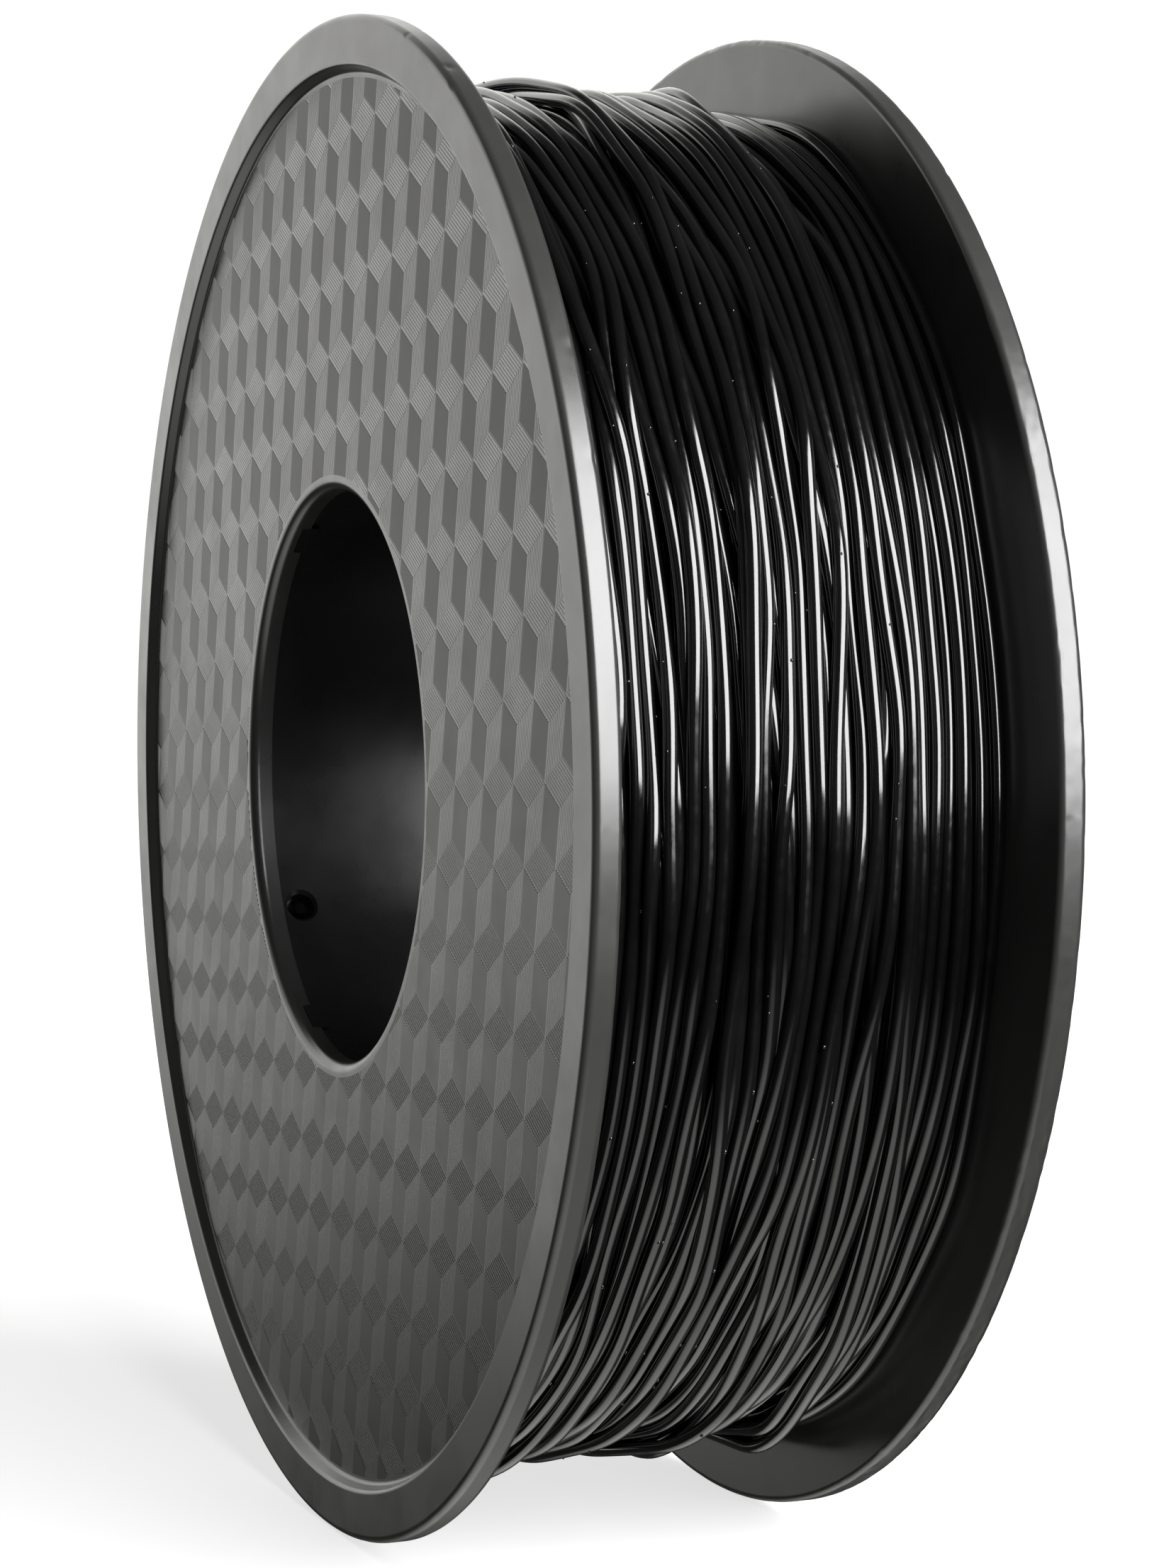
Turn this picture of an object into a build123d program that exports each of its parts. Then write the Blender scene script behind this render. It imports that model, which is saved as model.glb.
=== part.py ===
from build123d import *
import math
import os

# A full spool of 1.75 mm printer filament, 200 mm across and 60 mm wide.
# The spool turns about Y. The origin is the centre of its bore, half way along the barrel.
# +Z is up when the spool stands on its two rims, and the near flange is on the -Y side.
# All lengths are in millimetres and all angles in degrees, measured from +X towards +Z.

# Flanges
OVERALL_WIDTH = 60.0
FLANGE_RADIUS = 100.0
FLANGE_THICKNESS = 3.45
OUTER_EDGE_RADIUS = 0.9
INNER_EDGE_RADIUS = 0.8
RECESS_RADIUS = 93.5
RECESS_DEPTH = 1.5
RECESS_SLOPE = 0.8
STEP_RADIUS = 0.6

# Bore and the collar that locates the barrel
BORE_RADIUS = 38.2
LIP_EDGE_RADIUS = 1.3
COLLAR_LENGTH = 1.1

# Barrel
BARREL_OUTER_RADIUS = 41.7
BARREL_INNER_RADIUS = 38.8

# Three snap hooks at each end of the barrel, in slots of the flange lips
HOOK_COUNT = 3
FIRST_HOOK_ANGLE = 122.0
HOOK_WIDTH = 5.6
HOOK_REACH = 0.95
HOOK_ROOT = 1.2
HOOK_INNER_RADIUS = 38.3
HOOK_OUTER_RADIUS = 40.3
SLOT_CLEARANCE = 0.15

# Anchor hole, where the inner end of the filament is tucked in
ANCHOR_ANGLE = -150.3
ANCHOR_FROM_MIDDLE = -22.6
ANCHOR_RADIUS = 2.0
ANCHOR_MOUTH_RADIUS = 0.45

# Filament
FILAMENT_RADIUS = 0.875
WINDING_GAP = 0.05
WINDING_EDGE_RADIUS = 90.0
WINDING_CROWN_RADIUS = 92.4
WINDING_FAR_RADIUS = 89.4
WINDING_SHOULDER = 16.0
START_TIP_RADIUS = 39.7
START_RUN_RADIUS = 44.7
START_BEND_RADIUS = 2.6
START_RUN_LENGTH = 12.0

HALF_WIDTH = OVERALL_WIDTH / 2
INNER_FACE = HALF_WIDTH - FLANGE_THICKNESS
RECESS_FLOOR = HALF_WIDTH - RECESS_DEPTH
BARREL_END = INNER_FACE - COLLAR_LENGTH
CUT_MARGIN = 1.0


def turned(outline):
    """Turn a closed (radius, position along Y) outline into a body of revolution about Y."""
    return revolve(make_face(outline), axis=Axis.Y)


def around_y(angle, radius, along):
    """Give the place at an angle and a radius around the spool's axis, with local X pointing outwards."""
    return Rot(0, -angle, 0) * Pos(radius, along, 0)


def ring(inner_radius, outer_radius, low, high):
    """Make a plain tube about Y."""
    outline = Polyline(
        (inner_radius, low), (outer_radius, low), (outer_radius, high), (inner_radius, high), close=True
    )
    return turned(outline)


def hook_angles():
    """List the angles at which the snap hooks stand."""
    return [FIRST_HOOK_ANGLE + 360.0 * index / HOOK_COUNT for index in range(HOOK_COUNT)]


def snap_hook(angle):
    """Make the curved block of one snap hook at the +Y end."""
    low = BARREL_END - HOOK_ROOT
    high = BARREL_END + HOOK_REACH
    depth = HOOK_OUTER_RADIUS - HOOK_INNER_RADIUS + 2 * CUT_MARGIN
    middle = (HOOK_OUTER_RADIUS + HOOK_INNER_RADIUS) / 2
    slab = around_y(angle, middle, (low + high) / 2) * Box(depth, high - low, HOOK_WIDTH)
    return slab & ring(HOOK_INNER_RADIUS, HOOK_OUTER_RADIUS, low, high)


def flange():
    """Make the flange at +Y: a web with a raised rim and a recess outside, and a collar inside."""
    outline = FilletPolyline(
        (BORE_RADIUS, BARREL_END),
        (BARREL_OUTER_RADIUS, BARREL_END),
        (BARREL_OUTER_RADIUS, INNER_FACE),
        (FLANGE_RADIUS, INNER_FACE),
        (FLANGE_RADIUS, HALF_WIDTH),
        (RECESS_RADIUS, HALF_WIDTH),
        (RECESS_RADIUS - RECESS_SLOPE, RECESS_FLOOR),
        (BORE_RADIUS, RECESS_FLOOR),
        radius=[0, 0, 0, INNER_EDGE_RADIUS, OUTER_EDGE_RADIUS, STEP_RADIUS, STEP_RADIUS, LIP_EDGE_RADIUS],
        close=True,
    )
    body = turned(outline)
    for angle in hook_angles():
        slot = around_y(angle, BORE_RADIUS, BARREL_END) * Box(
            2 * (HOOK_OUTER_RADIUS - BORE_RADIUS + SLOT_CLEARANCE),
            2 * (HOOK_REACH + SLOT_CLEARANCE),
            HOOK_WIDTH + 2 * SLOT_CLEARANCE,
        )
        body -= slot
    return body


def barrel():
    """Make the barrel: a tube with three snap hooks at each end and the filament's anchor hole."""
    body = ring(BARREL_INNER_RADIUS, BARREL_OUTER_RADIUS, -BARREL_END, BARREL_END)
    for angle in hook_angles():
        hook = snap_hook(angle)
        body += hook
        body += mirror(hook, about=Plane.XZ)
    return body - anchor_hole()


def anchor_hole():
    """Make the cutter of the anchor hole, with a rounded mouth on the bore side."""
    place = around_y(ANCHOR_ANGLE, 0, ANCHOR_FROM_MIDDLE) * Rot(0, 90, 0)
    inner = BARREL_INNER_RADIUS
    depth = BARREL_OUTER_RADIUS - inner + CUT_MARGIN
    drill = Pos(0, 0, inner + depth / 2) * Cylinder(ANCHOR_RADIUS, depth + CUT_MARGIN)
    mouth_length = ANCHOR_MOUTH_RADIUS + CUT_MARGIN
    mouth = Pos(0, 0, inner + ANCHOR_MOUTH_RADIUS - mouth_length / 2) * Cone(
        ANCHOR_RADIUS + mouth_length, ANCHOR_RADIUS, mouth_length
    )
    return place * (drill + mouth)


def start_path():
    """Give the route of the filament's inner end: out through the anchor hole, then along the first turn."""
    across = START_RUN_RADIUS - FILAMENT_RADIUS
    return FilletPolyline(
        (START_TIP_RADIUS, 0, 0), (across, 0, 0), (across, 0, -START_RUN_LENGTH), radius=START_BEND_RADIUS
    )


def filament_start(radius):
    """Make the filament's inner end as a bent rod of a given radius."""
    route = start_path()
    section = Plane(origin=route @ 0, z_dir=route % 0) * Circle(radius)
    return around_y(ANCHOR_ANGLE, 0, ANCHOR_FROM_MIDDLE) * sweep(section, path=route)


def winding():
    """Make the wound filament as one closed body: flat against the flanges and crowned outside."""
    inner = BARREL_OUTER_RADIUS + WINDING_GAP
    end = INNER_FACE - WINDING_GAP
    sides = Polyline(
        (WINDING_EDGE_RADIUS, -end), (inner, -end), (inner, end), (WINDING_FAR_RADIUS, end)
    )
    crown = Spline(
        (WINDING_FAR_RADIUS, end),
        (WINDING_CROWN_RADIUS, WINDING_SHOULDER / 2),
        (WINDING_CROWN_RADIUS, -WINDING_SHOULDER),
        (WINDING_EDGE_RADIUS, -end),
    )
    return turned(sides + crown) - filament_start(FILAMENT_RADIUS + WINDING_GAP)


def main():
    """Write every part of the spool."""
    far_flange = flange()
    parts = {
        "flange_rear": far_flange,
        "flange_near": mirror(far_flange, about=Plane.XZ),
        "hub_barrel": barrel(),
        "filament_winding": winding(),
        "filament_start": filament_start(FILAMENT_RADIUS),
    }
    os.makedirs("parts", exist_ok=True)
    for node, shape in parts.items():
        export_step(shape, f"parts/{node}.step")


main()
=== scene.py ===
import math

import bpy
import numpy as np
from mathutils import Matrix, Vector


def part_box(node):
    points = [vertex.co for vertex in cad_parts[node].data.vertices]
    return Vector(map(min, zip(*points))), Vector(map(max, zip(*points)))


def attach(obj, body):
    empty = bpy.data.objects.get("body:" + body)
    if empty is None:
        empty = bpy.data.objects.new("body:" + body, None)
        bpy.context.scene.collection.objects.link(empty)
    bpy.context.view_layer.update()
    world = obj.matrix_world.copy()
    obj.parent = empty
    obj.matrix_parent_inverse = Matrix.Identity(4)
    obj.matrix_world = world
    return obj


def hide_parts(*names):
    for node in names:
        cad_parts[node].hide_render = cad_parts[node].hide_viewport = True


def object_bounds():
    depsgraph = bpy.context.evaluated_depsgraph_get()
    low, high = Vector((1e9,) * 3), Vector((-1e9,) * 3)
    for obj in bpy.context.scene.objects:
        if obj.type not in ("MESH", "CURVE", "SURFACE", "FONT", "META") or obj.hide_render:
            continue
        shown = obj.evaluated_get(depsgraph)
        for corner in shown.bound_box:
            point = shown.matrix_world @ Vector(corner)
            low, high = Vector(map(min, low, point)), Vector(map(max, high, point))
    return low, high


# A full spool of printer filament. Lengths are in metres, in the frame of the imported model:
# the spool turns about Y, its near flange is on the -Y side, and it stands on its rims.
# Azimuths of lights and camera are in degrees round +Z, from -Y towards +X.
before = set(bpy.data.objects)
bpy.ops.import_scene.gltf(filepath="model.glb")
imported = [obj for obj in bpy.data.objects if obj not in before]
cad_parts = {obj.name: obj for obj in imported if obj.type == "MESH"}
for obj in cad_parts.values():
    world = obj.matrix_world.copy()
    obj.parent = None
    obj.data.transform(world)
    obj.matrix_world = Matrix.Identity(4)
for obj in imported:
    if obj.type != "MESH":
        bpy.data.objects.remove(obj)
cad_low, cad_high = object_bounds()

MM = 0.001

# Flanges
FLANGE_THICKNESS = 3.45 * MM
OUTER_EDGE_RADIUS = 0.9 * MM
INNER_EDGE_RADIUS = 0.8 * MM
RECESS_RADIUS = 93.5 * MM
RECESS_DEPTH = 1.5 * MM
RECESS_SLOPE = 0.8 * MM
STEP_RADIUS = 0.6 * MM
LIP_EDGE_RADIUS = 1.3 * MM
BORE_RADIUS = 38.2 * MM
SLOT_RADIUS = 40.45 * MM
SLOT_DEPTH = 1.1 * MM
SLOT_HALF_ANGLE = 4.3
SLOT_ANGLES = (122.0, 242.0, 2.0)
SLOT_SIDE_STEP = 0.02
SLOT_SIDE_ROOM = 0.05
RIM_STEPS = 1080
RIM_DEPTH = 2 * MM
RIM_SPLIT = 0.45 * MM
ARC_STEPS = 6
SUPPORT = 0.12
CREASE_ANGLE = 40

# Wear of the rims: angles are in radians, and nick sizes in millimetres
WEAR_SEED = 5
NEAR_WEAR = {"unevenness": 0.012 * MM, "nicks": 26}
REAR_WEAR = {"unevenness": 0.07 * MM, "nicks": 90}
WORN_DEPTH = 0.7 * MM
WORN_PATCHES = 14
WORN_WIDTHS = (0.04, 0.3)
NICK_WIDTHS = (0.004, 0.012)
NICK_DEPTHS = (0.03, 0.16)
NICK_SPREADS = (0.3, 0.7)
NICKS_ON_EDGES = 0.8

# Filament
DIAMETER = 1.75 * MM
TURN_STEPS = 288
TUBE_SIDES = 16
TURNS_PER_PIECE = 21
SHOWN_TURNS = 84
LAYERS = 6
LAYER_RISE = 1.52 * MM
PITCH = 2.0 * MM
TOP_RADIUS = 93.0 * MM
TOP_LAYER_END = 9.0 * MM
EDGE_CALM = 8.0 * MM

# The guide that feeds the filament: each layer's and each turn's share of the pitch, now and then a gap in
# millimetres, and where a layer starts. A sway is its waves in a turn, its depth in millimetres and its drift.
GUIDE_SEED = 21
LAYER_PITCHES = (0.98, 1.05)
TURN_PITCHES = (0.9, 1.08)
GAP_CHANCE = 0.1
GAPS = (0.4, 1.3)
LAYER_STARTS = (0.3, 0.9)
SWAYS = ((1, 1.6, 0.012), (2, 1.5, -0.02), (3, 0.8, 0.025), (5, 0.3, -0.03))
SWAY_FADING = 0.09
SLIP_SPACING = 2.2
SLIP_LENGTHS = (0.12, 0.6)
SLIP_REACHES = (1.6, 4.6)
SLIP_BEND = 0.035

# How a strand settles on the strands beneath it
LAYERS_BENEATH = 3
JOIN_STEPS = 25
PROBE = 0.05 * MM
SLIDES = 50
SLIDE_STEP = 0.12 * MM
STEEPEST_SLIDE = 1.2
GUIDE_PULL = 0.03
TENSION = 8
FRICTION = 0.15
PULLS = 160
RADIUS_SMOOTHING = 4
TOP_TURNS = 12
TOP_PERCENTILE = 85

# The turns beneath the ones shown, and the tiny lumps on the outer ones, with sizes in millimetres
WINDING_GAP = 0.05 * MM
CORE_STEPS = 144
GROOVE_STEPS = 6
GROOVE_DEPTH = 0.7 * MM
NIB_SEED = 8
NIBS = 380
NIB_TURNS = 30
NIB_LEAN = 1.1
NIB_SIZES = (0.1, 0.22)
NIB_STRETCHES = (0.8, 1.8)
NIB_HEIGHT = 1.3
NIB_SINK = 0.3

# The web's moulded pattern of tumbling blocks, in the plane of the flange (X, Z)
BLOCK_ORIGIN = Vector((51.37, 28.45)) * MM
BLOCK_ACROSS = Vector((10.15, 0.27)) * MM
BLOCK_DOWN = Vector((3.15, -9.46)) * MM
EDGE_FALLING = Vector((4.7, -2.8)) * MM
EDGE_UPRIGHT = EDGE_FALLING - BLOCK_DOWN
EDGE_RISING = BLOCK_ACROSS - EDGE_FALLING
RIB_PITCH = 0.5 * MM
RIB_ROOT = 0.008 * MM
RIB_STEEP = 0.14
LEAST_RIB = 0.02
PATTERN_SPAN = 22
PATTERN_RIM_MARGIN = 0.7 * MM
PATTERN_LIP_MARGIN = 0.6 * MM
# The ribs on each face of a block: the ridge's place across a rib, and in millimetres the bare edge round
# the face and the ribs' height
LEFT_RIBS = (RIB_STEEP, 0.1, 0.064)
RIGHT_RIBS = (0.5, 0.05, 0.024)
TOP_RIBS = (1 - RIB_STEEP, 0.05, 0.035)

# The room's wall, as levels at heights of a direction: its brightness, how much further round it reaches,
# and how it rises from the ground
WALL_BY_HEIGHT = (
    (-0.1, 1.0), (-0.02, 0.84), (0.04, 1.0), (0.1, 0.97), (0.16, 0.78), (0.28, 1.0), (0.46, 1.0), (0.66, 0.0)
)
WALL_SPREAD = ((-0.1, 0.25), (-0.03, 0.02), (0.14, 0.0), (0.24, 0.1))
WALL_FOOT = ((-0.19, 0.0), (-0.172, 0.3), (-0.14, 0.8), (-0.115, 1.0))
WALL_AZIMUTH = -80
WALL_ELEVATION = 12
WALL_BRIGHTNESS = 1.85
GROUND_BRIGHTNESS = 1.8
UPPER_LIGHT = 0.04
ROOM_LIGHT = 0.03
ROOM_COLOUR = (1, 0.995, 0.965, 1)
BACKDROP_BRIGHTNESS = 1.05
WHITE = (1, 1, 1, 1)
FLOOR_HALF_WIDTH = 6.0

# Camera
CAMERA_AZIMUTH = 69.56
CAMERA_HEADING = 68.60
CAMERA_DISTANCE = 0.4767
CAMERA_HEIGHT = 0.0099
CAMERA_ROLL = -0.57
CAMERA_LENS = 80.15
CAMERA_SHIFT = -0.0542


# ---------------------------------------------------------------- node helpers

def new_material(name):
    """Make a material and return it with its Principled shader and its node tree."""
    material = bpy.data.materials.new(name)
    material.use_nodes = True
    return material, material.node_tree.nodes["Principled BSDF"], material.node_tree


def noise(tree, scale, detail, rough=0.5):
    """Add a noise texture in object space and return its value output."""
    place = tree.nodes.new("ShaderNodeTexCoord")
    texture = tree.nodes.new("ShaderNodeTexNoise")
    texture.inputs["Scale"].default_value = scale
    texture.inputs["Detail"].default_value = detail
    texture.inputs["Roughness"].default_value = rough
    tree.links.new(place.outputs["Object"], texture.inputs["Vector"])
    return texture.outputs["Fac"]


def spread_range(tree, value, low, high, from_low=0.3, from_high=0.7):
    """Map a value between two limits, which suit a noise unless they are given, onto a clamped range."""
    node = tree.nodes.new("ShaderNodeMapRange")
    node.inputs["From Min"].default_value = from_low
    node.inputs["From Max"].default_value = from_high
    node.inputs["To Min"].default_value = low
    node.inputs["To Max"].default_value = high
    tree.links.new(value, node.inputs["Value"])
    return node.outputs["Result"]


def stepped(tree, value, stops):
    """Map a value through straight runs between stops of (value, level), with levels from 0 to 1."""
    first, last = stops[0][0], stops[-1][0]
    ramp = tree.nodes.new("ShaderNodeValToRGB")
    elements = ramp.color_ramp.elements
    for place, level in stops[1:-1]:
        elements.new((place - first) / (last - first)).color = (level, level, level, 1)
    for element, (place, level) in zip((elements[0], elements[-1]), (stops[0], stops[-1])):
        element.color = (level, level, level, 1)
    tree.links.new(spread_range(tree, value, 0.0, 1.0, first, last), ramp.inputs["Fac"])
    return ramp.outputs["Color"]


def blend_colours(tree, value, dark, light):
    """Mix two colours by a noise value and return the colour."""
    ramp = tree.nodes.new("ShaderNodeValToRGB")
    for element, place, colour in zip(ramp.color_ramp.elements, (0.3, 0.7), (dark, light)):
        element.position = place
        element.color = (*colour, 1)
    tree.links.new(value, ramp.inputs["Fac"])
    return ramp.outputs["Color"]


def bump(tree, shader, *layers):
    """Chain bumps, each a (height, strength, distance), into the shader's normal."""
    last = None
    for height, strength, distance in layers:
        node = tree.nodes.new("ShaderNodeBump")
        node.inputs["Strength"].default_value = strength
        node.inputs["Distance"].default_value = distance
        tree.links.new(height, node.inputs["Height"])
        if last:
            tree.links.new(last, node.inputs["Normal"])
        last = node.outputs["Normal"]
    tree.links.new(last, shader.inputs["Normal"])


def reckon(tree, operation, first, second):
    """Add a two-value Math node, where each value is an output or a number, and return its output."""
    node = tree.nodes.new("ShaderNodeMath")
    node.operation = operation
    for socket, value in zip(node.inputs, (first, second)):
        if isinstance(value, float):
            socket.default_value = value
        else:
            tree.links.new(value, socket)
    return node.outputs["Value"]


# ---------------------------------------------------------------- materials

def moulded_plastic(name, dark, light, smooth, rough, gloss=0.5):
    """Black moulded plastic: a fine spark-eroded grain, faint flow marks and an uneven sheen."""
    material, shader, tree = new_material(name)
    cloud = noise(tree, 45, detail=3)
    grain = noise(tree, 4200, detail=2, rough=0.6)
    sheen = noise(tree, 120, detail=5, rough=0.6)
    tree.links.new(blend_colours(tree, cloud, dark, light), shader.inputs["Base Color"])
    tree.links.new(spread_range(tree, sheen, smooth, rough), shader.inputs["Roughness"])
    shader.inputs["Specular IOR Level"].default_value = gloss
    bump(tree, shader, (sheen, 0.02, 0.04 * MM), (grain, 0.1, 0.012 * MM))
    return material


def filament_plastic():
    """Glossy black extruded filament with a slightly rippled skin."""
    material, shader, tree = new_material("filament_gloss")
    cloud = noise(tree, 90, detail=3)
    skin = noise(tree, 700, detail=3)
    colour = blend_colours(tree, cloud, (0.0010, 0.0010, 0.0011), (0.0020, 0.0020, 0.0021))
    tree.links.new(colour, shader.inputs["Base Color"])
    tree.links.new(spread_range(tree, skin, 0.09, 0.17), shader.inputs["Roughness"])
    bump(tree, shader, (skin, 0.2, 0.012 * MM))
    return material


def floor_paint():
    """A plain pale sweep lit by a painted glow: its emission rises to white away from the object and is dimmer
    near it, a painted shade that adds to the soft cast shadow.
    """
    material, shader, tree = new_material("pale_floor")
    place = tree.nodes.new("ShaderNodeTexCoord")
    far = tree.nodes.new("ShaderNodeVectorMath")
    far.operation = "LENGTH"
    tree.links.new(place.outputs["Object"], far.inputs[0])
    # Painted glow: the floor's emission grows with distance from the object, so it is painted darker near the
    # object.
    painted_glow = spread_range(tree, far.outputs["Value"], low=0.68, high=1.05, from_low=0.15, from_high=0.85)
    cloud = noise(tree, 3, detail=2)
    paint_colour = blend_colours(tree, cloud, (0.29, 0.29, 0.29), (0.31, 0.31, 0.31))
    tree.links.new(paint_colour, shader.inputs["Base Color"])
    shader.inputs["Roughness"].default_value = 0.9
    shader.inputs["Specular IOR Level"].default_value = 0.0
    shader.inputs["Emission Color"].default_value = WHITE
    tree.links.new(painted_glow, shader.inputs["Emission Strength"])
    return material


def paint(obj, material):
    """Give an object one material."""
    obj.data.materials.clear()
    obj.data.materials.append(material)


def link(name, mesh):
    """Make an object from a mesh and put it in the scene."""
    obj = bpy.data.objects.new(name, mesh)
    bpy.context.scene.collection.objects.link(obj)
    return obj


# ---------------------------------------------------------------- turned bodies

def rounded(corners):
    """Round the corners of a closed outline of (radius, along, fillet), with a support point each side."""
    outline = []
    for index, (radius, along, fillet) in enumerate(corners):
        corner = Vector((radius, along))
        if fillet == 0:
            outline.append(corner)
            continue
        back = (Vector(corners[index - 1][:2]) - corner).normalized()
        ahead = (Vector(corners[(index + 1) % len(corners)][:2]) - corner).normalized()
        half = back.angle(ahead) / 2
        reach = fillet / math.tan(half)
        centre = corner + (back + ahead).normalized() * fillet / math.sin(half)
        outline.append(corner + back * (reach + SUPPORT * fillet))
        for step in range(ARC_STEPS + 1):
            share = step / ARC_STEPS
            chord = corner + back * reach * (1 - share) + ahead * reach * share
            outline.append(centre + (chord - centre).normalized() * fillet)
        outline.append(corner + ahead * (reach + SUPPORT * fillet))
    return outline


def split_rim(outline, least_radius, longest):
    """Split the edges of an outline that lie beyond a radius into short ones."""
    result = []
    for index, point in enumerate(outline):
        result.append(point)
        after = outline[(index + 1) % len(outline)]
        if min(point.x, after.x) > least_radius:
            pieces = math.ceil((after - point).length / longest)
            result.extend(point.lerp(after, piece / pieces) for piece in range(1, pieces))
    return result


def turned_mesh(name, outlines, angles):
    """Join one closed outline of (radius, along Y) at each angle into a ring-shaped body about Y."""
    outlines = np.asarray(outlines)
    across = outlines[:, :, 0]
    points = np.stack(
        (across * np.cos(angles)[:, None], outlines[:, :, 1], across * np.sin(angles)[:, None]), axis=-1
    )
    rings, count = across.shape
    ring = np.arange(rings)[:, None]
    corner = np.arange(count)[None, :]
    after, following = (ring + 1) % rings, (corner + 1) % count
    faces = np.stack(
        (ring * count + corner, ring * count + following, after * count + following, after * count + corner),
        axis=-1,
    )
    mesh = bpy.data.meshes.new(name)
    mesh.from_pydata(points.reshape(-1, 3).tolist(), [], faces.reshape(-1, 4).tolist())
    return mesh


def smooth_over(mesh, angle):
    """Shade a mesh smooth, with creases where its faces meet at more than an angle."""
    mesh.shade_smooth()
    mesh.set_sharp_from_angle(angle=math.radians(angle))


# ---------------------------------------------------------------- flanges

def flange_outlines():
    """Give two outlines of the flange at +Y: the plain one, and the one through a snap hook's slot."""
    low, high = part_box("flange_rear")
    radius, outer, collar = high.x, high.y, low.y
    inner, floor = outer - FLANGE_THICKNESS, outer - RECESS_DEPTH
    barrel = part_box("hub_barrel")[1].x
    shared = [
        (barrel, collar, 0),
        (barrel, inner, 0),
        (radius, inner, INNER_EDGE_RADIUS),
        (radius, outer, OUTER_EDGE_RADIUS),
        (RECESS_RADIUS, outer, STEP_RADIUS),
        (RECESS_RADIUS - RECESS_SLOPE, floor, STEP_RADIUS),
        (BORE_RADIUS, floor, LIP_EDGE_RADIUS),
        (BORE_RADIUS, collar + SLOT_DEPTH, 0),
    ]
    plain = shared + [(BORE_RADIUS, collar + SLOT_DEPTH / 2, 0), (BORE_RADIUS, collar, 0)]
    slotted = shared + [(SLOT_RADIUS, collar + SLOT_DEPTH, 0), (SLOT_RADIUS, collar, 0)]
    return [
        np.array(split_rim(rounded(corners), radius - RIM_DEPTH, RIM_SPLIT)) for corners in (plain, slotted)
    ]


def flange_angles():
    """Give the angles of the flange's rings, with a close pair at each slot's sides, and which are slotted."""
    even = np.arange(RIM_STEPS) * 360.0 / RIM_STEPS
    sides = [middle + side * SLOT_HALF_ANGLE for middle in SLOT_ANGLES for side in (-1, 1)]
    sides = np.array(sides) % 360
    apart = np.abs((even[:, None] - sides[None, :] + 180) % 360 - 180).min(axis=1)
    pairs = np.concatenate((sides - SLOT_SIDE_STEP, sides + SLOT_SIDE_STEP))
    angles = np.sort(np.concatenate((even[apart > SLOT_SIDE_ROOM], pairs)) % 360)
    off = np.abs((angles[:, None] - np.array(SLOT_ANGLES)[None, :] + 180) % 360 - 180).min(axis=1)
    return np.radians(angles), off < SLOT_HALF_ANGLE


def rim_wear(rng, angles, outline, unevenness, nicks):
    """Give how far each point of the rim lies inside its true radius: a slight ripple, and small nicks."""
    along = outline[:, 1]
    ripple = rng.normal(size=(len(angles), len(along)))
    for _ in range(2):
        ripple = 0.25 * np.roll(ripple, 1, axis=0) + 0.5 * ripple + 0.25 * np.roll(ripple, -1, axis=0)
        ripple = 0.25 * np.roll(ripple, 1, axis=1) + 0.5 * ripple + 0.25 * np.roll(ripple, -1, axis=1)
    patches = np.zeros(len(angles))
    for _ in range(WORN_PATCHES):
        middle, width = rng.uniform(0, math.tau), rng.uniform(*WORN_WIDTHS)
        patches += np.exp(-(((angles - middle + math.pi) % math.tau - math.pi) / width) ** 2)
    wear = unevenness * np.abs(ripple) * (0.25 + np.minimum(patches, 1.2))[:, None]
    for _ in range(nicks):
        middle, width = rng.uniform(0, math.tau), rng.uniform(*NICK_WIDTHS)
        on_edge = rng.random() < NICKS_ON_EDGES
        place = rng.choice((along.min(), along.max())) if on_edge else rng.uniform(along.min(), along.max())
        depth, spread = rng.uniform(*NICK_DEPTHS) * MM, rng.uniform(*NICK_SPREADS) * MM
        round_rim = np.exp(-(((angles - middle + math.pi) % math.tau - math.pi) / width) ** 2)
        wear += depth * round_rim[:, None] * np.exp(-(((along - place) / spread) ** 2))[None, :]
    return wear


def build_flange(name, side, wear, material):
    """Make one flange as a finely turned body with a slightly worn rim: side is 1 at the rear, -1 near."""
    rng = np.random.default_rng(WEAR_SEED + side)
    plain, slotted = flange_outlines()
    angles, in_slot = flange_angles()
    outlines = np.where(in_slot[:, None, None], slotted[None], plain[None])
    worn = plain[:, 0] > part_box("flange_rear")[1].x - WORN_DEPTH
    outlines[:, worn, 0] -= rim_wear(rng, angles, plain[worn], **wear)
    outlines[:, :, 1] *= side
    mesh = turned_mesh(name + "_shell", outlines if side > 0 else outlines[:, ::-1], angles)
    smooth_over(mesh, CREASE_ANGLE)
    shell = link(name + "_shell", mesh)
    paint(shell, material)
    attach(shell, "root")
    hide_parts(name)


# ---------------------------------------------------------------- winding

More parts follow.
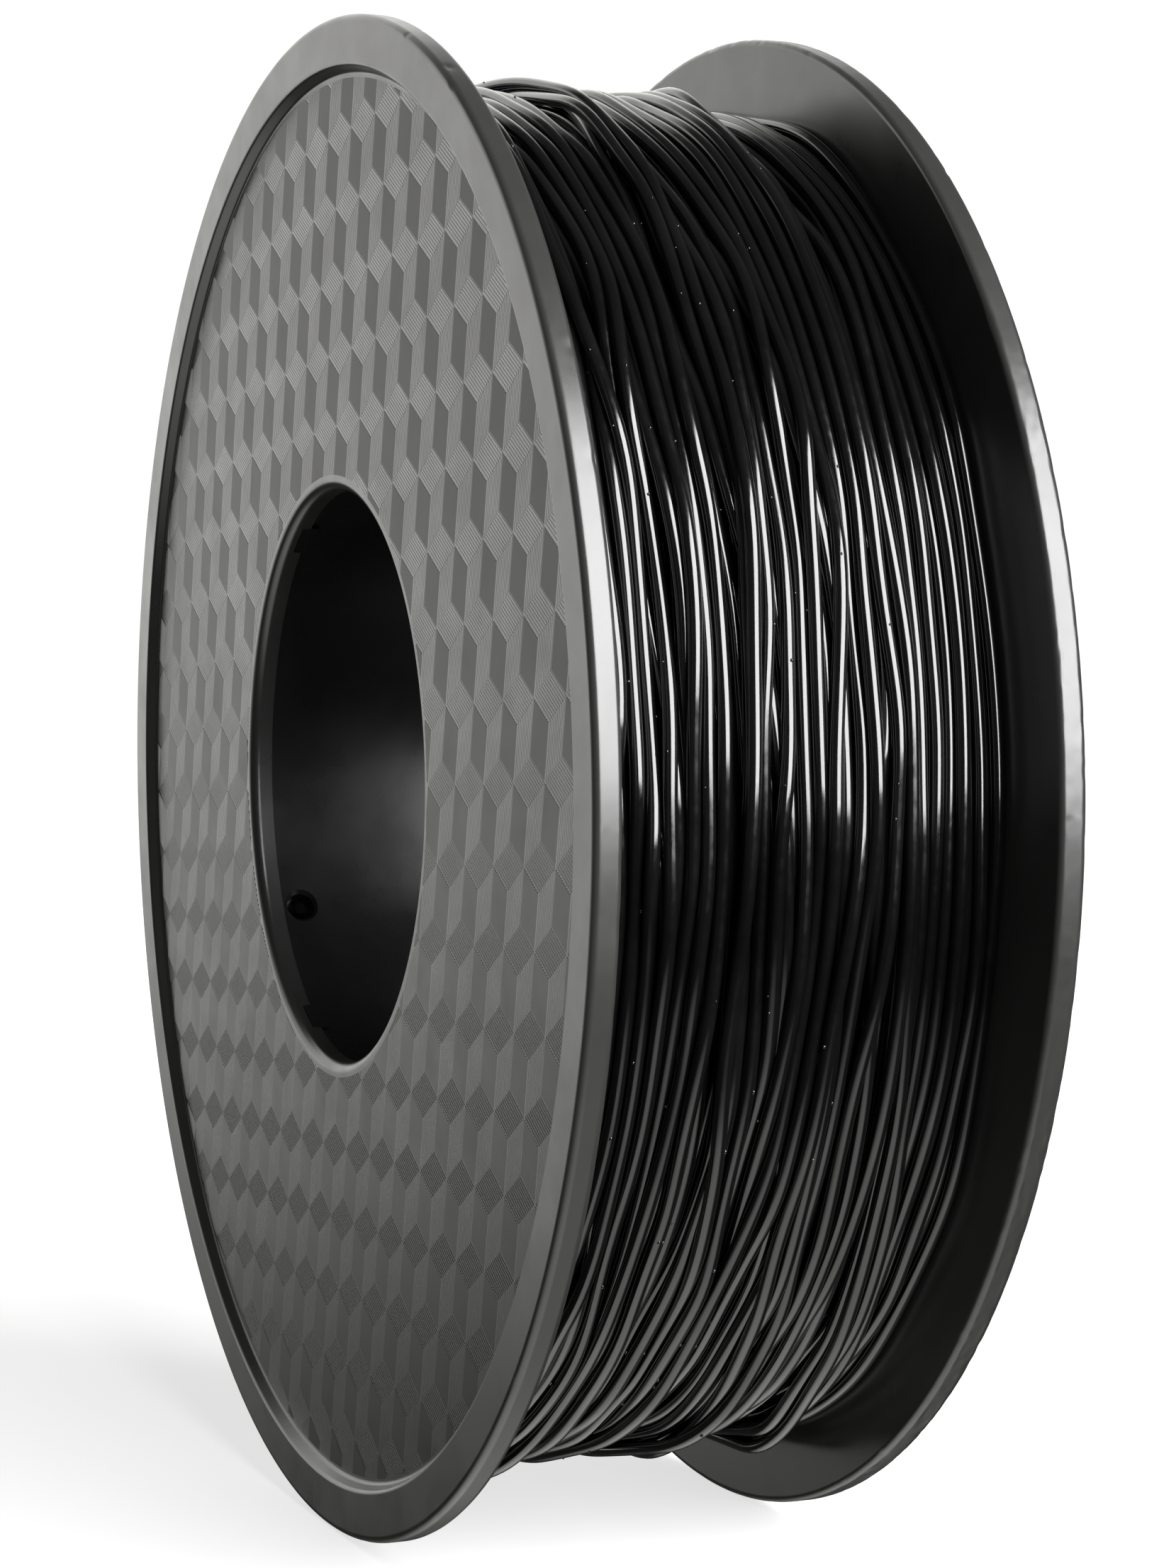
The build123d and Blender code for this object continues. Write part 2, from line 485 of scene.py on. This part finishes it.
def guide_path():
    """Give the place along Y where each turn's steps are fed, as an array of turns by steps.

    The guide travels from flange to flange and back. All turns sway together as they go, and now
    and then one slips sideways over its neighbours and comes back further on.
    """
    rng = np.random.default_rng(GUIDE_SEED)
    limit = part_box("filament_winding")[1].y - DIAMETER / 2
    place, heading, path = limit, -1.0, []
    for layer in range(LAYERS):
        highest = limit if layer < LAYERS - 1 else TOP_LAYER_END
        pitch = PITCH * rng.uniform(*LAYER_PITCHES)
        while -limit <= place <= highest:
            step = pitch * rng.uniform(*TURN_PITCHES)
            if rng.random() < GAP_CHANCE:
                step += rng.uniform(*GAPS) * MM
            path.append(place + heading * step * np.arange(TURN_STEPS) / TURN_STEPS)
            place += heading * step
        place = (highest if heading > 0 else -limit) - heading * rng.uniform(*LAYER_STARTS) * pitch
        heading = -heading
    path = np.array(path)
    turns = np.arange(path.size).reshape(path.shape) / TURN_STEPS
    sway = np.zeros(path.shape)
    for waves, depth, drift in SWAYS:
        phase, fading = rng.uniform(0, math.tau, 2)
        strength = 0.7 + 0.3 * np.sin(math.tau * SWAY_FADING * turns + fading)
        sway += depth * MM * strength * np.sin(math.tau * (waves + drift) * turns + phase)
    for start in np.arange(2, len(path) - 1, SLIP_SPACING):
        begin = start + rng.uniform(0, SLIP_SPACING)
        end = begin + rng.uniform(*SLIP_LENGTHS)
        reach = rng.choice((-1, 1)) * rng.uniform(*SLIP_REACHES) * MM
        sway += reach * 0.5 * (np.tanh((turns - begin) / SLIP_BEND) - np.tanh((turns - end) / SLIP_BEND))
    calm = np.clip((limit - np.abs(path)) / EDGE_CALM, 0, 1)
    return np.clip(path + calm * sway, -limit, limit)


def resting_radius(place, laid_places, laid_radii, base):
    """Give the radius at which a strand rests when it lies at a place, on the strands already laid."""
    if laid_places.shape[1] == 0:
        return np.full(place.shape, base)
    gap = place[:, None] - laid_places
    reach = DIAMETER**2 - gap**2
    rest = np.where(reach > 0, laid_radii + np.sqrt(np.maximum(reach, 0)), base)
    return np.maximum(rest.max(axis=1), base)


def smoothed(values, before, passes):
    """Average each value with its neighbours, holding on to the value before the first."""
    for _ in range(passes):
        padded = np.concatenate(([before], values, [values[-1]]))
        values = 0.25 * padded[:-2] + 0.5 * padded[1:-1] + 0.25 * padded[2:]
    return values


def pulled_tight(radii, before):
    """Span the dips of a turn with straight runs, as a strand under tension does."""
    bend = 2 * math.cos(math.tau / TURN_STEPS)
    inverse = 1 / radii
    first = 1 / before
    ceiling = inverse.copy()
    for _ in range(PULLS):
        padded = np.concatenate(([first], inverse, [inverse[-1]]))
        inverse = np.minimum(ceiling, (padded[:-2] + padded[2:]) / bend)
    return 1 / inverse


def lay_filament():
    """Wind the filament turn by turn and return its places along Y and its radii, turns by steps.

    A strand slides off a slope that is steeper than friction can hold, is pulled straight, and
    rests on the highest strand beneath it.
    """
    guide = guide_path()
    turns = len(guide)
    low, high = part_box("filament_winding")
    limit = high.y - DIAMETER / 2
    base = TOP_RADIUS - DIAMETER / 2 - LAYERS * LAYER_RISE
    window = LAYERS_BENEATH * int((high.y - low.y) / PITCH)
    places = np.zeros((TURN_STEPS, turns))
    radii = np.zeros((TURN_STEPS, turns))
    before_place, before_radius = guide[0, 0], base
    for turn in range(turns):
        first = max(0, turn - window)
        under = places[:, first:turn], radii[:, first:turn], base
        place = guide[turn] + (before_place - guide[turn, 0]) * np.exp(-np.arange(TURN_STEPS) / JOIN_STEPS)
        for _ in range(SLIDES):
            rise = resting_radius(place + PROBE, *under) - resting_radius(place - PROBE, *under)
            slope = rise / (2 * PROBE)
            push = np.sign(slope) * np.maximum(np.abs(slope) - FRICTION, 0)
            place = place - SLIDE_STEP * np.clip(push, -STEEPEST_SLIDE, STEEPEST_SLIDE)
            place += GUIDE_PULL * (guide[turn] - place)
            place = np.clip(smoothed(place, before_place, TENSION), -limit, limit)
        radius = pulled_tight(resting_radius(place, *under), before_radius)
        radius = smoothed(radius, before_radius, RADIUS_SMOOTHING)
        places[:, turn] = place
        radii[:, turn] = radius
        before_place, before_radius = place[-1], radius[-1]
    top = places[:, -TOP_TURNS:] < TOP_LAYER_END
    radii += TOP_RADIUS - DIAMETER / 2 - np.percentile(radii[:, -TOP_TURNS:][top], TOP_PERCENTILE)
    return places.T, radii.T


def tube_mesh(name, centres):
    """Make a closed round tube along an array of points."""
    ahead = np.gradient(centres, axis=0)
    ahead /= np.linalg.norm(ahead, axis=1)[:, None]
    outward = centres * (1, 0, 1)
    outward -= (outward * ahead).sum(axis=1)[:, None] * ahead
    outward /= np.linalg.norm(outward, axis=1)[:, None]
    sideways = np.cross(ahead, outward)
    angle = (np.arange(TUBE_SIDES) * math.tau / TUBE_SIDES)[None, :, None]
    ring = np.cos(angle) * outward[:, None] + np.sin(angle) * sideways[:, None]
    points = (centres[:, None] + ring * DIAMETER / 2).reshape(-1, 3)
    step = np.arange(len(centres) - 1)[:, None] * TUBE_SIDES
    side = np.arange(TUBE_SIDES)[None, :]
    after = (side + 1) % TUBE_SIDES
    following = step + TUBE_SIDES
    quads = np.stack((step + side, following + side, following + after, step + after), axis=-1)
    faces = quads.reshape(-1, 4).tolist()
    last = (len(centres) - 1) * TUBE_SIDES
    faces.append(list(range(TUBE_SIDES)))
    faces.append(list(range(last + TUBE_SIDES - 1, last - 1, -1)))
    mesh = bpy.data.meshes.new(name)
    mesh.from_pydata(points.tolist(), [], faces)
    mesh.shade_smooth()
    return mesh


def build_core(radius):
    """Make the turns hidden below the outer layers as one grooved body."""
    low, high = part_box("filament_winding")
    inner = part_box("hub_barrel")[1].x + WINDING_GAP
    count = int((high.y - low.y) / PITCH) * GROOVE_STEPS
    outline = [(inner, low.y)]
    for index in range(count + 1):
        along = low.y + (high.y - low.y) * index / count
        outline.append((radius + GROOVE_DEPTH * abs(math.sin(math.pi * index / GROOVE_STEPS)), along))
    outline.append((inner, high.y))
    angles = np.arange(CORE_STEPS) * math.tau / CORE_STEPS
    return link("filament_core", turned_mesh("filament_core", [outline] * len(angles), angles))


def nib_mesh(name, centres):
    """Scatter tiny lumps of plastic on the outer side of a strand whose centre line is given."""
    rng = np.random.default_rng(NIB_SEED)
    points, faces = [], []
    rings, sides = 3, 6
    for _ in range(NIBS):
        index = rng.integers(1, len(centres) - 1)
        centre = centres[index]
        ahead = centres[index + 1] - centres[index - 1]
        ahead /= np.linalg.norm(ahead)
        outward = centre * (1, 0, 1)
        outward -= outward.dot(ahead) * ahead
        outward /= np.linalg.norm(outward)
        sideways = np.cross(ahead, outward)
        lean = rng.uniform(-NIB_LEAN, NIB_LEAN)
        up = math.cos(lean) * outward + math.sin(lean) * sideways
        side = np.cross(ahead, up)
        size = rng.uniform(*NIB_SIZES) * MM
        stretch = rng.uniform(*NIB_STRETCHES)
        foot = centre + up * (DIAMETER / 2 - NIB_SINK * size)
        first = len(points)
        points.append(foot + up * size * NIB_HEIGHT)
        for ring in range(1, rings + 1):
            rise = math.cos(math.pi * ring / (rings + 2)) * NIB_HEIGHT
            reach = math.sin(math.pi * ring / (rings + 2))
            for corner in range(sides):
                turn = math.tau * corner / sides
                around = math.cos(turn) * stretch * ahead + math.sin(turn) * side
                points.append(foot + size * (rise * up + reach * around))
        faces.extend((first, first + 1 + k, first + 1 + (k + 1) % sides) for k in range(sides))
        for ring in range(rings - 1):
            start = first + 1 + ring * sides
            for k in range(sides):
                after = (k + 1) % sides
                faces.append((start + k, start + sides + k, start + sides + after, start + after))
        faces.append(tuple(first + 1 + (rings - 1) * sides + k for k in reversed(range(sides))))
    mesh = bpy.data.meshes.new(name)
    mesh.from_pydata([tuple(point) for point in points], [], faces)
    mesh.shade_smooth()
    return mesh


def build_winding(material):
    """Show the outer turns of the filament as real strands, over a core for the turns beneath."""
    places, radii = lay_filament()
    angle = np.arange(TURN_STEPS) * math.tau / TURN_STEPS + math.pi
    points = np.stack((radii * np.cos(angle), places, radii * np.sin(angle)), axis=-1).reshape(-1, 3)
    total = len(places)
    pieces = []
    for first in range(total - SHOWN_TURNS, total, TURNS_PER_PIECE):
        last = min(first + TURNS_PER_PIECE, total)
        run = points[first * TURN_STEPS:last * TURN_STEPS + 1]
        name = f"filament_turns_{len(pieces) + 1}"
        pieces.append(link(name, tube_mesh(name, run)))
    outer_run = points[(total - NIB_TURNS) * TURN_STEPS:]
    pieces.append(link("filament_nibs", nib_mesh("filament_nibs", outer_run)))
    pieces.append(build_core(radii[total - SHOWN_TURNS:].min() - DIAMETER))
    for piece in pieces:
        paint(piece, material)
        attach(piece, "root")
        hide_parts("filament_winding")


# ---------------------------------------------------------------- web pattern

def clipped(start, end, inner, outer):
    """Cut a line down to the part that lies between two circles round the axis, or give None."""
    run = end - start
    a, b = run.dot(run), 2 * start.dot(run)

    def crossings(radius):
        root = b * b - 4 * a * (start.dot(start) - radius * radius)
        if root <= 0:
            return None
        return (-b - math.sqrt(root)) / (2 * a), (-b + math.sqrt(root)) / (2 * a)

    reach = crossings(outer)
    if reach is None:
        return None
    low, high = max(0, reach[0]), min(1, reach[1])
    hole = crossings(inner)
    if hole and hole[0] < high and hole[1] > low:
        low, high = (low, hole[0]) if hole[0] - low > high - hole[1] else (hole[1], high)
    if high - low < LEAST_RIB:
        return None
    return start + run * low, start + run * high


def rib_rows():
    """Give every rhombus as its corner, the edge its ribs run along, its other edge, and how it is ribbed."""
    span = range(-PATTERN_SPAN, PATTERN_SPAN + 1)
    for across in span:
        for down in span:
            top_left = BLOCK_ORIGIN + across * BLOCK_ACROSS + down * BLOCK_DOWN
            if top_left.length > RECESS_RADIUS + BLOCK_ACROSS.length:
                continue
            bottom_left = top_left - EDGE_UPRIGHT
            yield bottom_left, EDGE_UPRIGHT, EDGE_FALLING, *LEFT_RIBS
            yield bottom_left + EDGE_FALLING, EDGE_UPRIGHT, EDGE_RISING, *RIGHT_RIBS
            yield top_left, EDGE_FALLING, EDGE_RISING, *TOP_RIBS


def pattern_mesh(name, floor_y, outward, turn):
    """Make the fine moulded ribs that draw the blocks: closed ridges standing on the web's floor."""
    inner = BORE_RADIUS + LIP_EDGE_RADIUS + PATTERN_LIP_MARGIN
    outer = RECESS_RADIUS - RECESS_SLOPE - PATTERN_RIM_MARGIN
    points, faces = [], []
    for corner, hatch, other, ridge, inset, height in rib_rows():
        area = abs(hatch.x * other.y - hatch.y * other.x)
        hatch_inset = inset * MM * other.length / area
        other_inset = inset * MM * hatch.length / area
        start = corner + hatch * hatch_inset + other * other_inset
        run = hatch * (1 - 2 * hatch_inset)
        climb = other * (1 - 2 * other_inset)
        count = max(2, round(area / hatch.length * (1 - 2 * other_inset) / RIB_PITCH))
        for rib in range(count):
            lines = []
            for share, rise in ((0, -RIB_ROOT), (ridge, height * MM), (1, -RIB_ROOT)):
                foot = start + climb * ((rib + share) / count)
                line = clipped(foot, foot + run, inner, outer)
                if line:
                    lines.append([(turn * p.x, floor_y + outward * rise, p.y) for p in line])
            if len(lines) < 3:
                continue
            first = len(points)
            for line in lines:
                points.extend(line)
            for a, b, c in ((0, 2, 4), (5, 3, 1)):
                faces.append((first + a, first + b, first + c))
            for a, b in ((0, 2), (2, 4), (4, 0)):
                faces.append((first + a, first + a + 1, first + b + 1, first + b))
    mesh = bpy.data.meshes.new(name)
    mesh.from_pydata(points, [], faces)
    return mesh


def build_patterns(material):
    """Put the block pattern on the outside of both flanges."""
    near_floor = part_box("flange_near")[0].y + RECESS_DEPTH
    rear_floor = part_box("flange_rear")[1].y - RECESS_DEPTH
    for name, floor_y, outward, turn in (
        ("web_pattern_near", near_floor, -1, 1),
        ("web_pattern_rear", rear_floor, 1, -1),
    ):
        piece = link(name, pattern_mesh(name, floor_y, outward, turn))
        paint(piece, material)
        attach(piece, "root")


# ---------------------------------------------------------------- studio

def build_floor():
    """Lay a wide pale floor under the rims. The room's own light stands in for what it would reflect."""
    edge = FLOOR_HALF_WIDTH
    corners = [(-edge, -edge), (edge, -edge), (edge, edge), (-edge, edge)]
    mesh = bpy.data.meshes.new("floor")
    mesh.from_pydata([(x, y, cad_low.z) for x, y in corners], [], [(0, 1, 2, 3)])
    floor = link("floor", mesh)
    floor.visible_glossy = False
    floor.visible_diffuse = False
    floor.visible_shadow = False
    paint(floor, floor_paint())


def direction(azimuth, elevation):
    """Give the unit vector that points away from the object at an azimuth and an elevation."""
    turn, rise = math.radians(azimuth), math.radians(elevation)
    return Vector((math.sin(turn) * math.cos(rise), -math.cos(turn) * math.cos(rise), math.sin(rise)))


def softbox(name, azimuth, elevation, distance, width, height, power):
    """Hang an area light round the object, facing it."""
    light = bpy.data.lights.new(name, "AREA")
    light.shape = "RECTANGLE"
    light.size, light.size_y = width, height
    light.energy = power
    lamp = bpy.data.objects.new(name, light)
    away = direction(azimuth, elevation)
    lamp.location = away * distance
    lamp.rotation_euler = away.to_track_quat("Z", "Y").to_euler()
    bpy.context.scene.collection.objects.link(lamp)


def build_room():
    """Make the room: a bright wall on the -X side, a dim ceiling, and a lit ground to the near side."""
    world = bpy.data.worlds.new("studio")
    world.use_nodes = True
    tree = world.node_tree
    place = tree.nodes.new("ShaderNodeTexCoord")
    split = tree.nodes.new("ShaderNodeSeparateXYZ")
    tree.links.new(place.outputs["Generated"], split.inputs["Vector"])
    height, near_side = split.outputs["Z"], reckon(tree, "MULTIPLY", split.outputs["Y"], -1.0)
    facing = tree.nodes.new("ShaderNodeVectorMath")
    facing.operation = "DOT_PRODUCT"
    tree.links.new(place.outputs["Generated"], facing.inputs[0])
    facing.inputs[1].default_value = direction(WALL_AZIMUTH, WALL_ELEVATION)
    skew = spread_range(tree, near_side, low=-0.14, high=0.02, from_low=0.13, from_high=0.37)
    skewed = reckon(tree, "ADD", height, skew)
    wall = reckon(tree, "ADD", facing.outputs["Value"], stepped(tree, height, WALL_SPREAD))
    wall = spread_range(tree, wall, low=0.0, high=WALL_BRIGHTNESS, from_low=0.7, from_high=0.95)
    wall = reckon(tree, "MULTIPLY", wall, stepped(tree, skewed, WALL_BY_HEIGHT))
    above = stepped(tree, skewed, WALL_FOOT)
    upper = reckon(tree, "MULTIPLY", above, reckon(tree, "ADD", wall, UPPER_LIGHT))
    ground = spread_range(tree, height, low=GROUND_BRIGHTNESS, high=0.0, from_low=-0.85, from_high=-0.55)
    near_part = spread_range(tree, near_side, low=0.0, high=1.0, from_low=-0.5, from_high=-0.15)
    below = reckon(tree, "MULTIPLY", ground, near_part)
    total = reckon(tree, "ADD", reckon(tree, "ADD", upper, below), ROOM_LIGHT)
    room = tree.nodes["Background"]
    room.inputs["Color"].default_value = ROOM_COLOUR
    tree.links.new(total, room.inputs["Strength"])
    seen = tree.nodes.new("ShaderNodeBackground")
    seen.inputs["Color"].default_value = WHITE
    seen.inputs["Strength"].default_value = BACKDROP_BRIGHTNESS
    choice = tree.nodes.new("ShaderNodeMixShader")
    path = tree.nodes.new("ShaderNodeLightPath")
    tree.links.new(path.outputs["Is Camera Ray"], choice.inputs["Fac"])
    tree.links.new(room.outputs["Background"], choice.inputs[1])
    tree.links.new(seen.outputs["Background"], choice.inputs[2])
    tree.links.new(choice.outputs["Shader"], tree.nodes["World Output"].inputs["Surface"])
    bpy.context.scene.world = world


def build_camera():
    """Place the camera a little above the spool's axis, facing the winding and the near flange's outside."""
    data = bpy.data.cameras.new("camera")
    data.lens = CAMERA_LENS
    data.sensor_width = 36
    data.shift_y = CAMERA_SHIFT
    data.clip_start, data.clip_end = 0.01, 50
    camera = bpy.data.objects.new("camera", data)
    reach = math.sqrt(CAMERA_DISTANCE**2 - CAMERA_HEIGHT**2)
    camera.location = direction(CAMERA_AZIMUTH, 0) * reach + Vector((0, 0, CAMERA_HEIGHT))
    level = direction(CAMERA_HEADING, 0).to_track_quat("Z", "Y").to_matrix()
    camera.rotation_euler = (level @ Matrix.Rotation(math.radians(CAMERA_ROLL), 3, "Z")).to_euler()
    bpy.context.scene.collection.objects.link(camera)
    bpy.context.scene.camera = camera


def main():
    """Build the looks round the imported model."""
    flange = moulded_plastic(
        "spool_moulded", dark=(0.012, 0.012, 0.0117), light=(0.015, 0.0149, 0.0145), smooth=0.26, rough=0.34
    )
    # Painted shade: the barrel inside the bore gets a darker, less reflective copy of the flange plastic,
    # standing in for the shade in the bore.
    barrel = moulded_plastic(
        "barrel_moulded_painted_shade", dark=(0.004, 0.004, 0.004), light=(0.006, 0.006, 0.006), smooth=0.24, rough=0.32,
        gloss=0.2,
    )
    filament = filament_plastic()
    paint(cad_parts["flange_near"], flange)
    paint(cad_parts["flange_rear"], flange)
    paint(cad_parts["hub_barrel"], barrel)
    paint(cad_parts["filament_start"], filament)
    build_flange("flange_near", -1, NEAR_WEAR, flange)
    build_flange("flange_rear", 1, REAR_WEAR, flange)
    build_winding(filament)
    build_patterns(flange)
    build_floor()
    softbox("right_window", azimuth=111, elevation=22, distance=1.5, width=1.6, height=1.44, power=144)
    build_room()
    build_camera()
    bpy.context.scene.view_settings.view_transform = "Standard"


main()
